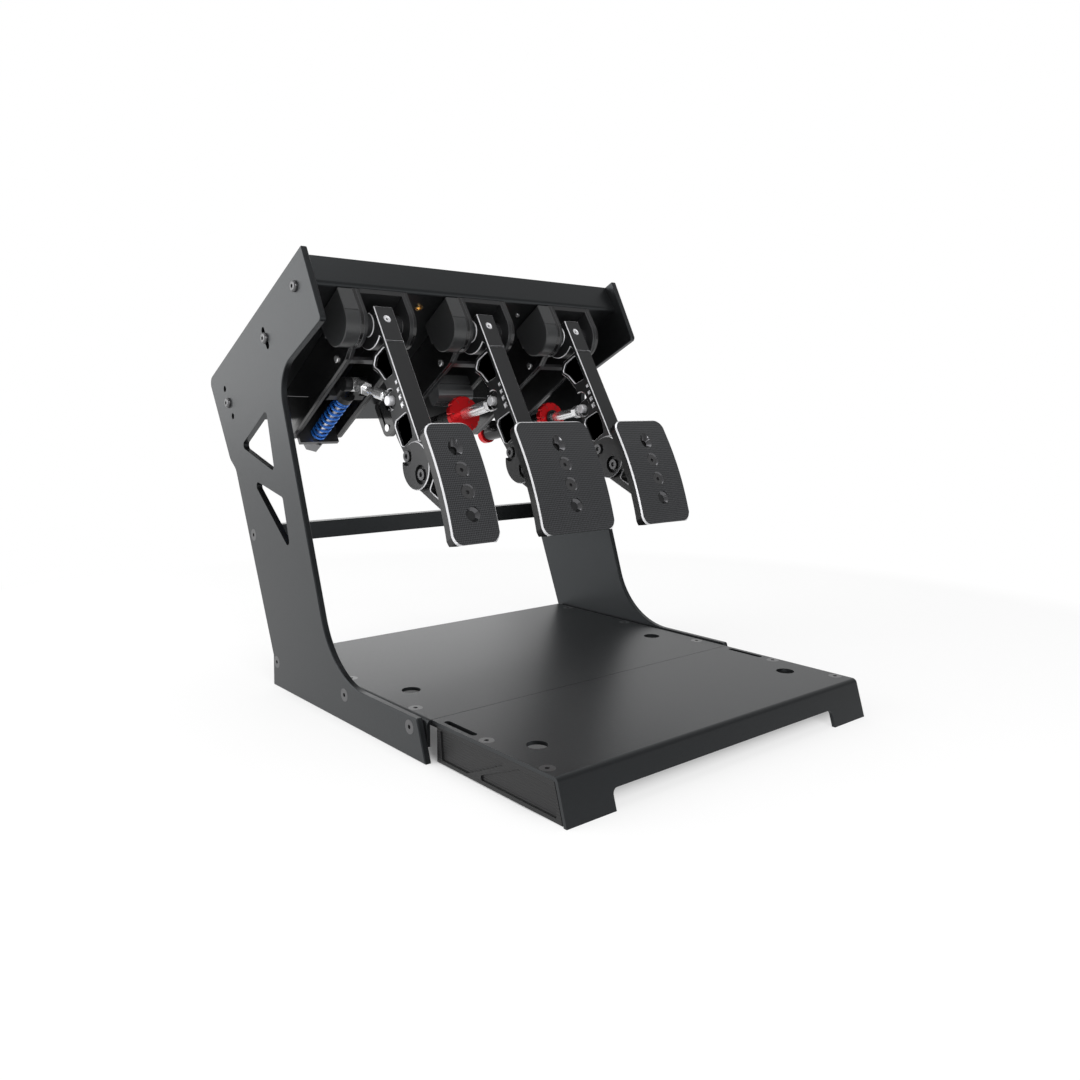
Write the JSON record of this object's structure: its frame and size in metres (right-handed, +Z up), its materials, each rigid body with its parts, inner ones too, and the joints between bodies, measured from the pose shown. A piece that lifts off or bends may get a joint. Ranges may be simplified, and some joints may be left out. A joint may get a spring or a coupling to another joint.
{
  "type": "racing simulator pedal set",
  "caption": "Inverted clutch, brake and throttle pedals hung from a sloping deck between cut side plates, over a folded heel plate with bolt-down holes",
  "frame": {"origin": "middle of the underside, on the floor", "axes": "+X to the driver's right, +Y away from the driver, +Z up"},
  "size_m": [0.39, 0.5618, 0.4156],
  "materials": {
    "powder_coat": "satin black powder coat with a fine grain",
    "black_plastic": "matt moulded black",
    "black_steel": "matt black",
    "black_screws": "black oxide, slight sheen",
    "brass": "plain turned brass",
    "bright_steel": "bright plated steel",
    "black_anodised": "black anodised, milled, edges bright",
    "satin_cover": "black anodised, glossy front and grained rear",
    "pad_face": "black face with a fine woven pattern, bright bevelled rim",
    "blue_spring": "metallic blue",
    "red_anodised": "red anodised",
    "black_rubber": "matt black",
    "light_grey": "light grey, bead blasted"
  },
  "bodies": {
    "frame": {"side_plate_right": "powder_coat", "side_plate_left": "powder_coat", "deck_screws": "black_screws", "base_screws": "black_screws", "rear_cross_bar": "powder_coat", "heel_plate_rear": "powder_coat", "heel_plate_front": "powder_coat", "heel_cover_right": "black_plastic", "heel_cover_left": "black_plastic", "heel_joiners": "black_steel", "heel_screws": "black_screws", "pedal_deck": "powder_coat", "deck_insert": "brass", "deck_rivets": "bright_steel", "module_screws": "black_screws", "module_washers": "black_screws", "neck_stops": "black_steel", "angle_sensors": "black_plastic", "pivot_axles": "bright_steel", "strut_pins": "bright_steel", "brake_load_block": "light_grey", "clutch_end_plate": "black_steel", "clutch_guide_rod": "bright_steel", "clutch_spring": "blue_spring", "clutch_cheek_right": "black_anodised", "clutch_cheek_left": "black_anodised", "clutch_side_covers": "satin_cover", "clutch_base_block": "black_anodised", "brake_cheek_right": "black_anodised", "brake_cheek_left": "black_anodised", "brake_side_covers": "satin_cover", "brake_base_block": "black_anodised", "throttle_cheek_right": "black_anodised", "throttle_cheek_left": "black_anodised", "throttle_side_covers": "satin_cover", "throttle_base_block": "black_anodised"},
    "clutch_pedal": {"clutch_arm": "black_anodised", "clutch_pad_carrier": "black_anodised", "clutch_pad": "pad_face", "clutch_arm_bolts": "black_screws"},
    "brake_pedal": {"brake_arm": "black_anodised", "brake_pad_carrier": "black_anodised", "brake_pad": "pad_face", "brake_arm_bolts": "black_screws"},
    "throttle_pedal": {"throttle_arm": "black_anodised", "throttle_pad_carrier": "black_anodised", "throttle_pad": "pad_face", "throttle_arm_bolts": "black_screws"},
    "clutch_push_rod": {"clutch_rod": "bright_steel"},
    "clutch_slider": {"clutch_carriage": "black_anodised"},
    "clutch_nut": {"clutch_preload_nut": "black_screws"},
    "brake_push_rod": {"brake_rod": "bright_steel"},
    "brake_cylinder": {"brake_tube": "black_steel", "brake_elastomers": "black_rubber"},
    "brake_preload_dial": {"brake_dial": "red_anodised"},
    "throttle_push_rod": {"throttle_rod": "bright_steel"},
    "throttle_cylinder": {"throttle_tube": "black_steel"},
    "throttle_preload_dial": {"throttle_dial": "red_anodised"},
    "throttle_end_knob": {"throttle_knob": "red_anodised"}
  },
  "joints": [
    {"name": "clutch_press", "type": "hinge", "parent": "frame", "child": "clutch_pedal", "pos_m": [-0.1167, 0.06226, 0.35133], "axis": [1, 0, 0], "range_deg": [0, 16], "stiffness_Nm_per_rad": 30, "springref_deg": -8.59},
    {"name": "brake_press", "type": "hinge", "parent": "frame", "child": "brake_pedal", "pos_m": [0, 0.06226, 0.35133], "axis": [1, 0, 0], "range_deg": [0, 5], "stiffness_Nm_per_rad": 400, "springref_deg": -1.15},
    {"name": "throttle_press", "type": "hinge", "parent": "frame", "child": "throttle_pedal", "pos_m": [0.1167, 0.06226, 0.35133], "axis": [1, 0, 0], "range_deg": [0, 18], "stiffness_Nm_per_rad": 12, "springref_deg": -11.46},
    {"name": "clutch_rod_swing", "type": "hinge", "parent": "clutch_pedal", "child": "clutch_push_rod", "pos_m": [-0.1167, 0.0273, 0.28247], "axis": [1, 0, 0], "range_deg": [-20.5, 0.5]},
    {"name": "clutch_slide", "type": "slide", "parent": "frame", "child": "clutch_slider", "axis": [0, 0.838, -0.5457], "range_m": [-0.0002, 0.0254], "deforming": ["clutch_spring"]},
    {"name": "clutch_preload", "type": "hinge", "parent": "frame", "child": "clutch_nut", "pos_m": [-0.1167, 0.19712, 0.24049], "axis": [0, 0.838, -0.5457], "range_deg": [-180, 180]},
    {"name": "brake_rod_swing", "type": "hinge", "parent": "brake_pedal", "child": "brake_push_rod", "pos_m": [0, 0.0273, 0.28247], "axis": [1, 0, 0], "range_deg": [-4.7, 0.2]},
    {"name": "brake_cylinder_swing", "type": "hinge", "parent": "frame", "child": "brake_cylinder", "pos_m": [0, 0.19395, 0.2521], "axis": [1, 0, 0], "range_deg": [-0.1, 0.7], "deforming": ["brake_elastomers"]},
    {"name": "brake_preload", "type": "hinge", "parent": "brake_push_rod", "child": "brake_preload_dial", "pos_m": [0, 0.0273, 0.28247], "axis": [0, 0.9753, -0.2211], "range_deg": [-150, 150]},
    {"name": "throttle_rod_swing", "type": "hinge", "parent": "throttle_pedal", "child": "throttle_push_rod", "pos_m": [0.1167, 0.02273, 0.27495], "axis": [1, 0, 0], "range_deg": [-16.5, 0.3]},
    {"name": "throttle_cylinder_swing", "type": "hinge", "parent": "frame", "child": "throttle_cylinder", "pos_m": [0.1167, 0.19395, 0.2521], "axis": [1, 0, 0], "range_deg": [-0.1, 2]},
    {"name": "throttle_preload", "type": "hinge", "parent": "throttle_cylinder", "child": "throttle_preload_dial", "pos_m": [0.1167, 0.20014, 0.24329], "axis": [0, 0.9844, -0.1757], "range_deg": [-150, 150]},
    {"name": "throttle_knob_turn", "type": "hinge", "parent": "throttle_cylinder", "child": "throttle_end_knob", "pos_m": [0.1167, 0.20014, 0.24329], "axis": [0, 0.9844, -0.1757], "range_deg": [-150, 150]}
  ],
  "couplings": [
    {"joint": "clutch_rod_swing", "follows": "clutch_press", "ratio": -1.2651},
    {"joint": "clutch_slide", "follows": "clutch_press", "m_per_rad": 0.09004},
    {"joint": "brake_rod_swing", "follows": "brake_press", "ratio": -0.9003},
    {"joint": "brake_cylinder_swing", "follows": "brake_press", "ratio": 0.09965},
    {"joint": "throttle_rod_swing", "follows": "throttle_press", "ratio": -0.899},
    {"joint": "throttle_cylinder_swing", "follows": "throttle_press", "ratio": 0.101}
  ]
}
